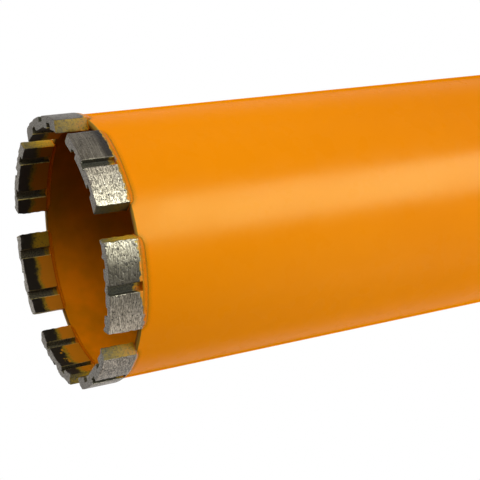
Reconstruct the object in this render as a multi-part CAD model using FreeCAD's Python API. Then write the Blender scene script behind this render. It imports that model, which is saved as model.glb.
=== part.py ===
import FreeCAD, Part
import os

# Diamond core bit: a steel tube with sintered segments brazed on one end and a threaded hub on the other.
# Millimetres. The hub's seating face is at z = 0, the axis is Z, and the segments are at the top.
# The first segment's middle is on +X, and the others follow counter-clockwise seen from the cutting end.

# Cutting segments, which stand proud of the tube's wall on both sides
segment_count = 7
crown_radius = 38.0
outer_overhang = 0.7
inner_overhang = 0.6
segment_length = 24.6
segment_height = 9.2
segment_edge_chamfer = 0.35

# Grooves along the segments, one outside and two inside
groove_width = 2.5
outer_groove_depth = 1.5
inner_groove_depth = 1.6
inner_groove_offset = 6.3

# Steel tube
barrel_wall = 2.1
barrel_length = 340.0

# Braze under each segment, with a bead along both sides of the tube
braze_layer = 0.15
outer_bead_run = 1.9
inner_bead_run = 1.2
bead_end_chamfer = 1.2

# End plate that closes the back of the tube
plate_thickness = 6.0
plate_rim_chamfer = 1.0
spigot_length = 5.0
spigot_clearance = 0.1

# Weld between the tube and the end plate
plate_weld_leg = 1.4
plate_weld_crown = 0.45

# Threaded hub
hub_radius = 24.5
hub_length = 32.0
hub_rim_chamfer = 1.0
hub_neck_radius = 19.5
hub_neck_clearance = 0.1
thread_major_radius = 15.875
thread_minor_radius = 13.9
mouth_margin = 0.4
flats_across = 41.3
flats_start = 6.0
flats_height = 17.0

# Weld between the hub and the end plate
hub_weld_leg = 4.0

# Heights along the axis
plate_bottom = hub_length
barrel_bottom = plate_bottom + plate_thickness
barrel_top = barrel_bottom + barrel_length
spigot_top = barrel_bottom + spigot_length
segment_bottom = barrel_top + braze_layer
segment_top = segment_bottom + segment_height

# Radii that follow from the sizes above
barrel_radius = crown_radius - outer_overhang
barrel_bore_radius = barrel_radius - barrel_wall
crown_inner_radius = barrel_bore_radius - inner_overhang
segment_pitch = 360.0 / segment_count
overshoot = 5.0
tolerance = 1e-6
weld_chords = 2


def point(radius, height):
    """Point of a turned profile, in the XZ plane."""
    return FreeCAD.Vector(radius, 0, height)


def turn(corners):
    """Full turn about the axis of the profile through these points, the last of which is the first."""
    face = Part.Face(Part.makePolygon(corners))
    return face.revolve(FreeCAD.Vector(0, 0, 0), FreeCAD.Vector(0, 0, 1), 360)


def weld_face(first, second, height):
    """Points of a convex weld face from one profile point to another, standing out to the right of the way."""
    way = second - first
    side = FreeCAD.Vector(way.z, 0, -way.x).normalize()
    arc = Part.Arc(first, (first + second) * 0.5 + side * height, second)
    return arc.discretize(weld_chords + 1)


def at_pitch(shape, index):
    """Copy of a shape at the place of one segment round the crown."""
    placed = shape.copy()
    placed.rotate(FreeCAD.Vector(0, 0, 0), FreeCAD.Vector(0, 0, 1), index * segment_pitch)
    return placed


def seam_behind(shape):
    """The round shape with its seam turned to -X, so that no face of the segment on +X is split by it."""
    shape.rotate(FreeCAD.Vector(0, 0, 0), FreeCAD.Vector(0, 0, 1), 180)
    return shape


def slab(width, bottom, top, inner=0.0):
    """Block between two parallel planes either side of the XZ plane, on the +X side only."""
    reach = crown_radius + overshoot - inner
    return Part.makeBox(reach, width, top - bottom, FreeCAD.Vector(inner, -width / 2, bottom))


def make_segment():
    """Segment on +X: a piece of a ring with parallel ends, worn edges and its three grooves."""
    ring = Part.makeCylinder(crown_radius, segment_height, point(0, segment_bottom))
    ring = ring.cut(Part.makeCylinder(crown_inner_radius, segment_height, point(0, segment_bottom)))
    body = seam_behind(ring).common(slab(segment_length, segment_bottom, segment_top))
    worn = [edge for edge in body.Edges if is_worn_edge(edge)]
    body = body.makeChamfer(segment_edge_chamfer, worn)
    low = segment_bottom - overshoot
    high = segment_top + overshoot
    body = body.cut(slab(groove_width, low, high, crown_radius - outer_groove_depth))
    inner_floor = crown_inner_radius + inner_groove_depth
    keyway = seam_behind(Part.makeCylinder(inner_floor, high - low, point(0, low)))
    for side in (-1, 1):
        groove = keyway.common(slab(groove_width, low, high))
        groove.translate(FreeCAD.Vector(0, side * inner_groove_offset, 0))
        body = body.cut(groove)
    return body


def is_worn_edge(edge):
    """True for the edges round the segment's cutting face and the upright edges at its ends."""
    box = edge.BoundBox
    round_front = box.ZMin > segment_top - tolerance
    upright = box.ZLength > segment_height - tolerance
    return round_front or upright


def make_braze():
    """Braze under the segment on +X: a thin layer with a sloping bead along both sides of the tube."""
    section = [
        point(crown_radius, segment_bottom),
        point(barrel_radius, barrel_top - outer_bead_run),
        point(barrel_radius, barrel_top),
        point(barrel_bore_radius, barrel_top),
        point(barrel_bore_radius, barrel_top - inner_bead_run),
        point(crown_inner_radius, segment_bottom),
        point(crown_radius, segment_bottom),
    ]
    window = slab(segment_length, barrel_top - outer_bead_run, segment_bottom)
    ends = [edge for edge in window.Edges if is_window_foot(edge)]
    return seam_behind(turn(section)).common(window.makeChamfer(bead_end_chamfer, ends))


def is_window_foot(edge):
    """True for the two lower edges that run outwards on the block that bounds the bead."""
    box = edge.BoundBox
    low = box.ZMax < barrel_top - outer_bead_run + tolerance
    return low and box.XLength > crown_radius


def make_barrel():
    """Steel tube, cut square at the front and bevelled at the back for the weld."""
    return turn([
        point(barrel_bore_radius, barrel_bottom),
        point(barrel_radius - plate_weld_leg, barrel_bottom),
        point(barrel_radius, barrel_bottom + plate_weld_leg),
        point(barrel_radius, barrel_top),
        point(barrel_bore_radius, barrel_top),
        point(barrel_bore_radius, barrel_bottom),
    ])


def make_end_plate():
    """Turned plate that shoulders against the tube, with a spigot inside it and a hole for the hub."""
    spigot_radius = barrel_bore_radius - spigot_clearance
    hole_radius = hub_neck_radius + hub_neck_clearance
    return turn([
        point(hole_radius, plate_bottom),
        point(barrel_radius - plate_rim_chamfer, plate_bottom),
        point(barrel_radius, plate_bottom + plate_rim_chamfer),
        point(barrel_radius, barrel_bottom - plate_weld_leg),
        point(barrel_radius - plate_weld_leg, barrel_bottom),
        point(spigot_radius, barrel_bottom),
        point(spigot_radius, spigot_top),
        point(hole_radius, spigot_top),
        point(hole_radius, plate_bottom),
    ])


def make_plate_weld():
    """Bead that fills the bevels of the tube and the plate and stands a little proud of them."""
    root = point(barrel_radius - plate_weld_leg, barrel_bottom)
    lower = point(barrel_radius, barrel_bottom - plate_weld_leg)
    upper = point(barrel_radius, barrel_bottom + plate_weld_leg)
    return turn([root] + weld_face(lower, upper, plate_weld_crown) + [root])


def make_hub():
    """Turned hub with a neck in the end plate, a bore for the thread and two wrench flats."""
    mouth_radius = thread_major_radius + mouth_margin
    mouth_depth = mouth_radius - thread_minor_radius
    body = turn([
        point(mouth_radius, 0),
        point(hub_radius - hub_rim_chamfer, 0),
        point(hub_radius, hub_rim_chamfer),
        point(hub_radius, plate_bottom),
        point(hub_neck_radius, plate_bottom),
        point(hub_neck_radius, spigot_top),
        point(thread_minor_radius, spigot_top),
        point(thread_minor_radius, mouth_depth),
        point(mouth_radius, 0),
    ])
    cut_depth = hub_radius + overshoot
    for side in (-1, 1):
        cutter = Part.makeBox(2 * cut_depth, cut_depth, flats_height)
        cutter.translate(FreeCAD.Vector(-cut_depth, -cut_depth / 2, flats_start))
        cutter.translate(FreeCAD.Vector(0, side * (flats_across / 2 + cut_depth / 2), 0))
        body = body.cut(cutter)
    return body


def make_hub_weld():
    """Fillet weld in the corner between the hub and the end plate."""
    corner = point(hub_radius, plate_bottom)
    lower = point(hub_radius, plate_bottom - hub_weld_leg)
    outer = point(hub_radius + hub_weld_leg, plate_bottom)
    return turn([outer, corner, lower, outer])


def make_parts():
    """Every sub-part by name."""
    parts = {
        "barrel": make_barrel(),
        "end_plate": make_end_plate(),
        "plate_weld": make_plate_weld(),
        "hub": make_hub(),
        "hub_weld": make_hub_weld(),
    }
    segment = make_segment()
    braze = make_braze()
    for index in range(segment_count):
        parts[f"segment_{index + 1}"] = at_pitch(segment, index)
        parts[f"braze_{index + 1}"] = at_pitch(braze, index)
    return parts


os.makedirs("parts", exist_ok=True)
for name, shape in make_parts().items():
    shape.exportStep(f"parts/{name}.step")
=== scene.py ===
"""Visual model of a wet diamond core bit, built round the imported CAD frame.

The bit stands on its hub's seating face at z = 0, with its axis on Z and its segments at the top.
Sizes of the pieces are millimetres, as in the CAD source. Sizes in the finishes are metres, as every
mesh is.
"""

import logging
import math
from dataclasses import dataclass, field
from enum import Enum
from itertools import product

import bmesh
import bpy
import numpy as np
from mathutils import Matrix, Vector

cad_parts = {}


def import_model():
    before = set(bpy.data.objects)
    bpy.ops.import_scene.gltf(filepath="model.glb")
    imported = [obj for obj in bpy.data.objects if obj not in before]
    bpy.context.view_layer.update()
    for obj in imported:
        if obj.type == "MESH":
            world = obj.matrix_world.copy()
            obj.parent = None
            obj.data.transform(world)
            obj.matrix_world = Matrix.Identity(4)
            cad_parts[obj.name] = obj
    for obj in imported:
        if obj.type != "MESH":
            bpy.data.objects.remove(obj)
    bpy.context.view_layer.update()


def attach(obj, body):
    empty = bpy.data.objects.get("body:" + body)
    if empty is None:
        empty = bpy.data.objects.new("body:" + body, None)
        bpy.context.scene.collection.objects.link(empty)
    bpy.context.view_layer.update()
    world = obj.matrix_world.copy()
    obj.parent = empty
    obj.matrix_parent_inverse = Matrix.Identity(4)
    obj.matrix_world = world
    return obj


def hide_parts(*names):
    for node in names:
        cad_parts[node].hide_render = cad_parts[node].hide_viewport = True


Triple = tuple[float, float, float]
Colour = Triple
FourPlaces = tuple[float, float, float, float]
Socket = bpy.types.NodeSocket
Tree = bpy.types.NodeTree
Material = bpy.types.Material
Piece = bpy.types.Object
Node = bpy.types.Node
Input = Socket | Material | float | int | tuple | str | None
Inputs = dict[str | int, Input]

LOG = logging.getLogger("core_bit")
MM = 0.001
BODY = "root"
# Places along a segment, in millimetres from its middle, that the values of its look belong to
GROUND_PLACES = (-11.5, -2.5, -1.2, 1.2, 6.0, 8.6)
BARE_PLACES = (-11.5, -8.0, -4.0, 9.0)
# What turns a cell's place into a number that looks random
CELL_FACTORS = np.array([374761393, 668265263, 1274126177])
SEED_FACTOR = 144665
MIX_STEPS = ((13, 1103515245), (15, 668265263))
LOW_BITS = 0xFFFFFFFF


@dataclass(frozen=True)
class SegmentLook:
    """What sets one segment apart from the others.

    Four values run along the outer face from the first end to the second. They are how light its grinding
    is, partly its own tone and partly a painted highlight where the lamp's glint falls and painted shade
    beside it, how many millimetres the metal runs on over the root, and how strongly its grains show.
    The values inner_shade and first_end_shade are painted shade: darker stray paint on the inner face and a
    darker first end, where these lie in shade. These two, first_paint, end_cover, front and bead are shares
    of the usual. Scorch and flecks go from 0 to 1. A larger pit_spread brings the pits nearer to the root.
    Reach and lean are in millimetres: how much longer the second end is, and how much further in its inner
    side stands.
    """

    ground: FourPlaces = (1.0, 1.0, 1.0, 1.0)
    inner_shade: float = 1.0
    first_end_shade: float = 1.0
    end_cover: float = 1.0
    front: float = 1.0
    scorch: float = 0.0
    first_paint: float = 1.0
    flecks: float = 0.0
    pit_spread: float = 0.8
    bead: float = 1.0
    bare: FourPlaces = (0.0, 0.0, 0.0, 0.0)
    speckle: FourPlaces = (0.3, 0.3, 0.3, 0.3)
    reach: float = 0.0
    lean: float = 0.0


# Looks of segment_1 to segment_7, in turn round the crown, with painted highlight and shade in their values
SEGMENT_LOOKS = (
    SegmentLook((0.70, 0.70, 0.66, 0.66), inner_shade=0.8, end_cover=1.3, front=0.9, reach=0.9, lean=0.45),
    SegmentLook((1.0, 1.1, 0.9, 1.1), inner_shade=0.40, front=1.15),
    SegmentLook((1.2, 0.9, 1.0, 1.2), inner_shade=0.68, front=1.4, first_paint=0.5),
    SegmentLook((0.9, 1.2, 1.1, 0.8), inner_shade=0.66, front=1.1, flecks=1.0),
    SegmentLook((1.4, 1.55, 1.4, 1.4), bead=0.6, bare=(0.8, 0.8, 0.8, 0.7), speckle=(0.9, 0.9, 0.9, 0.9)),
    SegmentLook((2.2, 0.86, 0.34, 0.66), bare=(0.9, 0.6, -0.4, -0.2), speckle=(0.6, 0.6, 0.2, 0.75)),
    SegmentLook((1.12, 1.68, 0.72, 0.74), inner_shade=0.9, first_end_shade=0.15, scorch=1.0, bead=0.9,
                pit_spread=1.5, bare=(0.0, 0.0, 0.0, 0.1), speckle=(0.9, 0.85, 0.1, 0.1)),
)


class Slot(Enum):
    """Material slots of the record that the pieces take their finish from."""

    PAINT = "orange_paint"
    WELD = "painted_weld"
    BRAZE = "painted_braze"
    HUB = "hub_finish"
    SINTER = "sintered_metal"


class Gloss(Enum):
    """How a lamp takes part in the gloss of the surfaces."""

    ONLY = "shows in gloss and lights nothing"
    NONE = "lights and does not show in gloss"


@dataclass(frozen=True)
class Datum:
    """Radii and heights that neighbouring pieces share, in millimetres."""

    segment_count: int = 7
    crown_radius: float = 38.0
    crown_inner_radius: float = 34.6
    segment_length: float = 24.6
    segment_bottom: float = 378.15
    segment_top: float = 387.35
    barrel_radius: float = 37.3
    barrel_bore_radius: float = 35.2
    barrel_bottom: float = 38.0
    barrel_top: float = 378.0
    plate_bottom: float = 32.0
    spigot_top: float = 43.0
    plate_weld_leg: float = 1.4
    hub_radius: float = 24.5
    hub_weld_leg: float = 4.0

    @property
    def segment_half(self) -> float:
        """Distance along the tangent from a segment's middle to either end."""
        return self.segment_length / 2

    def turn_to(self, index: int) -> float:
        """Angle of one segment's middle about the axis, in radians."""
        return 2 * math.pi * index / self.segment_count


@dataclass(frozen=True)
class Grain:
    """Smooth noise over points in space, the same on every run for one seed."""

    seed: int

    def at(self, points: np.ndarray, scale: float) -> np.ndarray:
        """Noise of one size at many points.

        Args:
            points: Places as rows of three numbers.
            scale: Size of the noise's lumps, in the same unit.

        Returns:
            One number from -1 to 1 for each point.
        """
        cell = points / scale
        low = np.floor(cell).astype(np.int64)
        part = cell - low
        part = part * part * (3 - 2 * part)
        total = np.zeros(len(points))
        for corner in product((0, 1), repeat=3):
            place = low + np.array(corner)
            mixed = place @ CELL_FACTORS + self.seed * SEED_FACTOR
            for shift, factor in MIX_STEPS:
                mixed = (mixed ^ (mixed >> shift)) * factor & LOW_BITS
            value = (mixed >> 8) / float(LOW_BITS >> 8) * 2 - 1
            total += value * np.where(corner, part, 1 - part).prod(1)
        return total

    def rough(self, points: np.ndarray, scale: float, octaves: int = 3) -> np.ndarray:
        """Noise of several sizes added up.

        Args:
            points: Places as rows of three numbers.
            scale: Size of the largest lumps.
            octaves: How many sizes, each half of the last.

        Returns:
            One number from about -1 to 1 for each point.
        """
        layers = [self.at(points, scale / 2**n) / 2**n for n in range(octaves)]
        return sum(layers) / (2 - 2.0 ** (1 - octaves))


def ease(low: float, high: float, value: np.ndarray) -> np.ndarray:
    """Smooth step from 0 at low to 1 at high.

    Args:
        low: Value at which the step starts.
        high: Value at which it ends, which may lie below low.
        value: Numbers to pass through the step.

    Returns:
        Numbers from 0 to 1.
    """
    part = np.clip((value - low) / (high - low), 0, 1)
    return part * part * (3 - 2 * part)


def placed(name: str, data: bpy.types.ID) -> Piece:
    """New object of this name and data in the scene.

    Args:
        name: Name of the object.
        data: Its mesh, lamp or camera.

    Returns:
        The object.
    """
    made = bpy.data.objects.new(name, data)
    bpy.context.scene.collection.objects.link(made)
    return made


def band(low: int, high: int, count: int) -> list[tuple[int, ...]]:
    """Faces between two rows of points that each close on themselves.

    Args:
        low: Number of the first point in one row.
        high: Number of the first point in the other.
        count: Points in each row.

    Returns:
        Corner numbers of each face.
    """
    pairs = [(n, (n + 1) % count) for n in range(count)]
    return [(low + n, low + beside, high + beside, high + n) for n, beside in pairs]


def mesh_object(name: str, vertices: np.ndarray, faces: list | np.ndarray) -> Piece:
    """Object with a smooth-shaded mesh.

    Args:
        name: Name of the piece.
        vertices: Corners in millimetres, in the frame of the CAD.
        faces: Corner numbers of each face, turned outwards.

    Returns:
        The object, at the origin of the scene.
    """
    mesh = bpy.data.meshes.new(name)
    rows = faces.tolist() if isinstance(faces, np.ndarray) else faces
    mesh.from_pydata((np.asarray(vertices) * MM).tolist(), [], rows)
    mesh.shade_smooth()
    mesh.update()
    return placed(name, mesh)


def point_values(piece: Piece, name: str, values: np.ndarray) -> None:
    """Store one number per vertex for the material to read.

    Args:
        piece: Mesh object that gets the attribute.
        name: Name of the attribute.
        values: One number for each vertex.
    """
    layer = piece.data.attributes.new(name, "FLOAT", "POINT")
    layer.data.foreach_set("value", np.asarray(values, np.float32))


def sharpen(piece: Piece, degrees: float) -> None:
    """Mark the edges that bend by more than an angle as sharp, so that flats shade flat.

    Args:
        piece: Mesh object.
        degrees: Least angle of an edge that stays sharp.
    """
    piece.data.set_sharp_from_angle(angle=math.radians(degrees))


def settle(piece: Piece, material: Material | None, slot: Slot, *nodes: str) -> None:
    """Dress a finished piece, attach it to the body and hide the CAD nodes that it replaces.

    Args:
        piece: Finished mesh object.
        material: Its material, or None where its nodes have set one.
        slot: Material slot of the record; not used.
        nodes: CAD nodes that the piece replaces.
    """
    if material is not None:
        piece.data.materials.clear()
        piece.data.materials.append(material)
    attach(piece, BODY)
    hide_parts(*nodes)
    LOG.info("%s: %d faces", piece.name, len(piece.data.polygons))


@dataclass
class Wiring:
    """Short ways to add nodes to one tree and join them."""

    tree: Tree

    @classmethod
    def begin(cls, name: str, kind: str, inputs: tuple[tuple[str, str, Input], ...],
              outputs: tuple[tuple[str, str], ...]) -> tuple["Wiring", dict[str, Socket], Node]:
        """Empty group tree with its ends.

        Args:
            name: Name of the tree.
            kind: Blender's type name of the tree.
            inputs: Name, socket type and first value of each input.
            outputs: Name and socket type of each output.

        Returns:
            The wiring, the input sockets by name and the node of the outputs.
        """
        wiring = cls(bpy.data.node_groups.new(name, kind))
        sockets = wiring.tree.interface
        for label, sort, value in inputs:
            socket = sockets.new_socket(label, in_out="INPUT", socket_type="NodeSocket" + sort)
            if value is not None:
                socket.default_value = value
        for label, sort in outputs:
            sockets.new_socket(label, in_out="OUTPUT", socket_type="NodeSocket" + sort)
        start, end = wiring.add("NodeGroupInput"), wiring.add("NodeGroupOutput")
        return wiring, {socket.name: socket for socket in start.outputs if socket.name}, end

    def join(self, value: Input, sockets: bpy.types.bpy_prop_collection, key: str | int) -> None:
        """Link a socket, or set a value, on the input with this identifier, name or number.

        Args:
            value: Socket to link, value to set, or None to leave the input as it is.
            sockets: Inputs of the node.
            key: Identifier, name or number of the input.
        """
        if isinstance(key, int):
            target = sockets[key]
        else:
            target = next((s for s in sockets if s.identifier == key), None) or sockets[key]
        if isinstance(value, Socket):
            self.tree.links.new(value, target)
        elif value is not None:
            target.default_value = value

    def add(self, kind: str, inputs: Inputs | None = None, **settings: object) -> Node:
        """Add a node.

        Args:
            kind: Blender's type name of the node.
            inputs: Sockets or values for its inputs.
            settings: Other properties of the node.

        Returns:
            The new node.
        """
        node = self.tree.nodes.new(kind)
        for name, value in settings.items():
            setattr(node, name, value)
        self.feed(node, inputs or {})
        return node

    def feed(self, node: Node, inputs: Inputs) -> None:
        """Link or set several inputs of a node."""
        for key, value in inputs.items():
            self.join(value, node.inputs, key)

    def math(self, operation: str, *values: Input) -> Socket:
        """Result of one step of arithmetic on sockets or numbers."""
        return self.add("ShaderNodeMath", dict(enumerate(values)), operation=operation).outputs[0]

    def times(self, first: Input, second: Input) -> Socket:
        """Product of two numbers."""
        return self.math("MULTIPLY", first, second)

    def plus(self, first: Input, second: Input) -> Socket:
        """Sum of two numbers."""
        return self.math("ADD", first, second)

    def minus(self, first: Input, second: Input) -> Socket:
        """Difference of two numbers."""
        return self.math("SUBTRACT", first, second)

    def larger(self, first: Input, second: Input) -> Socket:
        """The larger of two numbers."""
        return self.math("MAXIMUM", first, second)

    def below(self, first: Input, second: Input) -> Socket:
        """1 where the first number is below the second, and 0 elsewhere."""
        return self.math("LESS_THAN", first, second)

    def step(self, value: Input, low: float, high: float, start: float = 0.0, end: float = 1.0) -> Socket:
        """Smooth step of a value from low to high, brought to the range from start to end.

        Args:
            value: Number to pass through the step.
            low: Where the step starts.
            high: Where it ends, which may lie below low.
            start: Result at low.
            end: Result at high.

        Returns:
            The result.
        """
        sockets = {"Value": value, "From Min": low, "From Max": high, "To Min": start, "To Max": end}
        node = self.add("ShaderNodeMapRange", sockets, interpolation_type="SMOOTHSTEP")
        return node.outputs[0]

    def noise(self, vector: Input, scale: Input, *, detail: float = 2.0, seed: Input = 0.0,
              roughness: float = 0.5) -> Socket:
        """Noise of so many lumps to the metre, from 0 to 1, at a place.

        Args:
            vector: Place to read the noise at.
            scale: Lumps to the metre.
            detail: How many finer sizes are added.
            seed: Which noise it is.
            roughness: How strong the finer sizes are.

        Returns:
            Number from 0 to 1.
        """
        sockets = {"Vector": vector, "W": seed, "Scale": scale, "Detail": detail, "Roughness": roughness}
        return self.add("ShaderNodeTexNoise", sockets, noise_dimensions="4D").outputs[0]

    def mix(self, amount: Input, first: Input, second: Input, blend: str = "MIX") -> Socket:
        """Colour between two, by an amount from 0 to 1.

        Args:
            amount: Share of the second colour.
            first: Colour at 0.
            second: Colour at 1.
            blend: Blender's name of the way they are blended.

        Returns:
            The colour.
        """
        first, second = ((*value, 1) if isinstance(value, tuple) else value for value in (first, second))
        sockets = {"Factor_Float": amount, "A_Color": first, "B_Color": second}
        node = self.add("ShaderNodeMix", sockets, data_type="RGBA", blend_type=blend)
        return node.outputs[2]

    def blend(self, amount: Input, first: Input, second: Input) -> Socket:
        """Number between two, by an amount from 0 to 1."""
        sockets = {"Factor_Float": amount, "A_Float": first, "B_Float": second}
        return self.add("ShaderNodeMix", sockets, data_type="FLOAT").outputs[0]

    def ramp(self, value: Input, stops: tuple[tuple[float, tuple[float, ...]], ...]) -> Socket:
        """Colour of a value on a ramp of places and colours.

        Args:
            value: Number from 0 to 1.
            stops: Place and colour of each stop, in rising order.

        Returns:
            The colour.
        """
        node = self.add("ShaderNodeValToRGB", {0: value})
        elements = node.color_ramp.elements
        while len(elements) < len(stops):
            elements.new(0.5)
        for element, (place, colour) in zip(elements, stops):
            element.position = place
            element.color = (*colour, 1)
        return node.outputs[0]

    def place(self) -> Socket:
        """Place on the object, in metres from its origin."""
        return self.add("ShaderNodeTexCoord").outputs["Object"]

    def parts(self, vector: Input) -> bpy.types.bpy_prop_collection:
        """The three parts of a vector."""
        return self.add("ShaderNodeSeparateXYZ", {0: vector}).outputs

    def vector(self, *parts: Input) -> Socket:
        """Vector of up to three parts."""
        return self.add("ShaderNodeCombineXYZ", dict(enumerate(parts))).outputs[0]

    def length(self, vector: Input) -> Socket:
        """Length of a vector."""
        return self.add("ShaderNodeVectorMath", {0: vector}, operation="LENGTH").outputs["Value"]

    def tints(self, colour: Input) -> bpy.types.bpy_prop_collection:
        """The three parts of a colour."""
        return self.add("ShaderNodeSeparateColor", {0: colour}).outputs

    def shade(self, colour: Input, amount: Input) -> Socket:
        """Colour made lighter or darker by a number."""
        grey = self.add("ShaderNodeCombineColor", {0: amount, 1: amount, 2: amount}).outputs[0]
        return self.mix(1.0, colour, grey, "MULTIPLY")

    def stored(self, name: str) -> Socket:
        """Number that the mesh stores for a geometry tree under this name."""
        return self.add("GeometryNodeInputNamedAttribute", {"Name": name}).outputs[0]

    def attribute(self, name: str) -> Socket:
        """Number that the mesh stores for the material under this name."""
        return self.add("ShaderNodeAttribute", attribute_name=name).outputs["Fac"]

    def group(self, tree: Tree, inputs: Inputs | None = None) -> Node:
        """Place a shader node group with its own values.

        Args:
            tree: The node group.
            inputs: Sockets or values for its inputs.

        Returns:
            The group's node.
        """
        node = self.add("ShaderNodeGroup", node_tree=tree)
        self.feed(node, inputs or {})
        return node


class PathTrees:
    """Geometry Nodes trees for the pieces that follow a path or a surface."""

    @staticmethod
    def new(name: str, *inputs: tuple[str, str, Input]) -> tuple[Wiring, dict[str, Socket], Node]:
        """Tree that takes and gives a geometry, with its other inputs by name, type and first value."""
        geometry = ("Geometry", "Geometry")
        return Wiring.begin(name, "GeometryNodeTree", ((*geometry, None), *inputs), (geometry,))

    @classmethod
    def swept_ring(cls) -> Tree:
        """Tree that carries a profile round a circle about the axis, with ripples along it if asked.

        The profile lies in its own XY plane. Its X is the distance outside the path and its Y is
        minus the height. Its "rise" says how much a point takes part in the ripples, and its
        "across" is the place across the bead from -1 to 1.

        Returns:
            The tree, with named inputs for the path, the ripples and the material.
        """
        wiring, given, end = cls.new(
            "swept_ring", ("Path Radius", "Float", 0.03), ("Facets", "Int", 360),
            ("Ripples", "Float", 0.0), ("Ripple Bow", "Float", 0.0), ("Ripple Depth", "Float", 0.0),
            ("Unevenness", "Float", 0.0), ("Lump Scale", "Float", 200.0), ("Seed", "Float", 1.0),
            ("Material", "Material", None))
        circle = wiring.add("GeometryNodeCurvePrimitiveCircle",
                            {"Resolution": given["Facets"], "Radius": given["Path Radius"]})
        upright = wiring.add("GeometryNodeSetCurveNormal", {0: circle.outputs[0]}, mode="Z_UP")
        profile = wiring.add("GeometryNodeMeshToCurve", {0: given["Geometry"]})
        swept = wiring.add("GeometryNodeCurveToMesh", {0: upright.outputs[0], 1: profile.outputs[0]})
        place = wiring.parts(wiring.add("GeometryNodeInputPosition").outputs[0])
        angle = wiring.math("ARCTAN2", place[1], place[0])
        rise = wiring.stored("rise")
        across = wiring.stored("across")
        turns = wiring.times(angle, wiring.math("DIVIDE", given["Ripples"], 2.0))
        bowed = wiring.times(wiring.times(across, across), given["Ripple Bow"])
        wave = wiring.math("ABSOLUTE", wiring.math("SINE", wiring.plus(turns, bowed)))
        dip = wiring.minus(wiring.math("POWER", wave, 0.7), 1.0)
        ripple = wiring.times(dip, given["Ripple Depth"])
        lumps = wiring.minus(wiring.noise(None, given["Lump Scale"], seed=given["Seed"]), 0.5)
        uneven = wiring.times(lumps, given["Unevenness"])
        height = wiring.times(wiring.plus(ripple, uneven), rise)
        normal = wiring.add("GeometryNodeInputNormal")
        push = wiring.add("ShaderNodeVectorMath", {0: normal.outputs[0], "Scale": height}, operation="SCALE")
        moved = wiring.add("GeometryNodeSetPosition", {0: swept.outputs[0], "Offset": push.outputs[0]})
        cls.close(wiring, moved.outputs[0], given["Material"], end)
        return wiring.tree

    @classmethod
    def scattered_grit(cls) -> Tree:
        """Tree that sets small crystals into the face that its "gritty" attribute marks.

        Returns:
            The tree, with named inputs for how many, how large, how deep, the seed and the material.
        """
        wiring, given, end = cls.new(
            "scattered_grit", ("Density", "Float", 1e6), ("Spacing", "Float", 0.0005),
            ("Grain", "Float", 0.0002), ("Sunk", "Float", 0.0001), ("Seed", "Int", 1),
            ("Material", "Material", None))
        chosen = wiring.math("GREATER_THAN", wiring.stored("gritty"), 0.9)
        points = wiring.add("GeometryNodeDistributePointsOnFaces", {
            "Mesh": given["Geometry"], "Selection": chosen, "Distance Min": given["Spacing"],
            "Density Max": given["Density"], "Seed": given["Seed"]}, distribute_method="POISSON")
        depth = wiring.add("ShaderNodeCombineXYZ", {2: wiring.times(given["Sunk"], -1.0)})
        lowered = wiring.add("GeometryNodeSetPosition", {0: points.outputs[0], "Offset": depth.outputs[0]})
        crystal = wiring.add("GeometryNodeMeshIcoSphere", {"Radius": given["Grain"], "Subdivisions": 1})
        marked = wiring.add("GeometryNodeStoreNamedAttribute",
                            {0: crystal.outputs[0], "Name": "grit", "Value": 1.0},
                            data_type="FLOAT", domain="POINT")
        turn = wiring.add("FunctionNodeRandomValue", {1: (6.3, 6.3, 6.3), "Seed": given["Seed"]},
                          data_type="FLOAT_VECTOR")
        size = wiring.add("FunctionNodeRandomValue", {"Min_001": 0.55, "Max_001": 1.1, "Seed": given["Seed"]},
                          data_type="FLOAT")
        set_in = wiring.add("GeometryNodeInstanceOnPoints", {
            "Points": lowered.outputs[0], "Instance": marked.outputs[0],
            "Rotation": turn.outputs[0], "Scale": size.outputs[1]})
        both = wiring.add("GeometryNodeJoinGeometry")
        for geometry in (set_in.outputs[0], given["Geometry"]):
            wiring.tree.links.new(geometry, both.inputs[0])
        cls.close(wiring, both.outputs[0], given["Material"], end)
        return wiring.tree

    @staticmethod
    def close(wiring: Wiring, geometry: Socket, material: Socket, end: Node) -> None:
        """End a tree in Realize Instances and Set Material.

        Args:
            wiring: Wiring of the tree.
            geometry: What the tree has made.
            material: Material input of the tree.
            end: Node of the tree's outputs.
        """
        real = wiring.add("GeometryNodeRealizeInstances", {0: geometry})
        dressed = wiring.add("GeometryNodeSetMaterial", {"Geometry": real.outputs[0], "Material": material})
        wiring.tree.links.new(dressed.outputs[0], end.inputs[0])


def grow(piece: Piece, tree: Tree, values: dict[str, object]) -> None:
    """Run a Geometry Nodes tree on an object and keep the result as its plain mesh.

    Args:
        piece: Object whose mesh the tree starts from.
        tree: Tree to run.
        values: Values for the tree's named inputs.
    """
    modifier = piece.modifiers.new(tree.name, "NODES")
    modifier.node_group = tree
    for item in tree.interface.items_tree:
        if item.item_type == "SOCKET" and item.in_out == "INPUT" and item.name in values:
            modifier[item.identifier] = values[item.name]
    graph = bpy.context.evaluated_depsgraph_get()
    grown = bpy.data.meshes.new_from_object(piece.evaluated_get(graph))
    piece.modifiers.remove(modifier)
    piece.data = grown
    turn_outwards(piece)
    piece.data.shade_smooth()


def turn_outwards(piece: Piece) -> None:
    """Merge what lies on the same spot and turn a closed mesh's faces outwards.

    Args:
        piece: Mesh object that is changed in place.
    """
    work = bmesh.new()
    work.from_mesh(piece.data)
    bmesh.ops.remove_doubles(work, verts=work.verts, dist=1e-8)
    bmesh.ops.dissolve_degenerate(work, edges=work.edges, dist=1e-8)
    bmesh.ops.recalc_face_normals(work, faces=work.faces)
    work.to_mesh(piece.data)
    work.free()


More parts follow.
